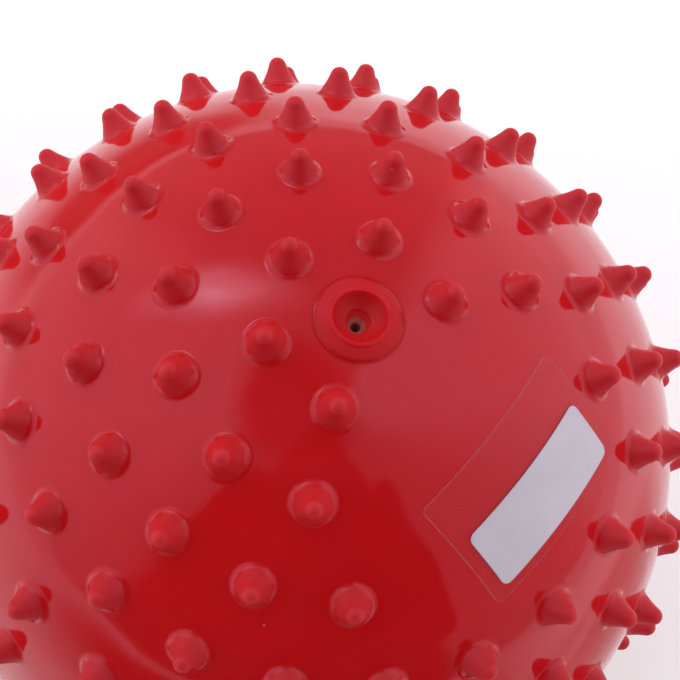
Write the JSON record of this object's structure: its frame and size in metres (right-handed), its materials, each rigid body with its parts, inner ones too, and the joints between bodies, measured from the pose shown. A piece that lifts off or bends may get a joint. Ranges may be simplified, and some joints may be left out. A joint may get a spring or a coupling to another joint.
{
  "type": "sensory ball",
  "caption": "Inflatable glossy soft ball covered in bell-shaped massage nubs, with a sunken needle valve at one pole and a blank label panel beside it.",
  "frame": {"origin": "centre of the ball", "axes": "+Z out of the valve along its axis; -Y towards the front, where the label panel is"},
  "size_m": [0.2268, 0.227, 0.2238],
  "materials": {
    "skin": "glossy soft PVC",
    "valve": "glossy soft PVC, a little duller",
    "core": "matt soft rubber",
    "film": "clear gloss film",
    "label": "plain satin paper"
  },
  "bodies": {
    "root": {"ball_skin": "skin", "valve_seat": "valve", "valve_core": "core", "label_film": "film", "label": "label"}
  },
  "joints": []
}
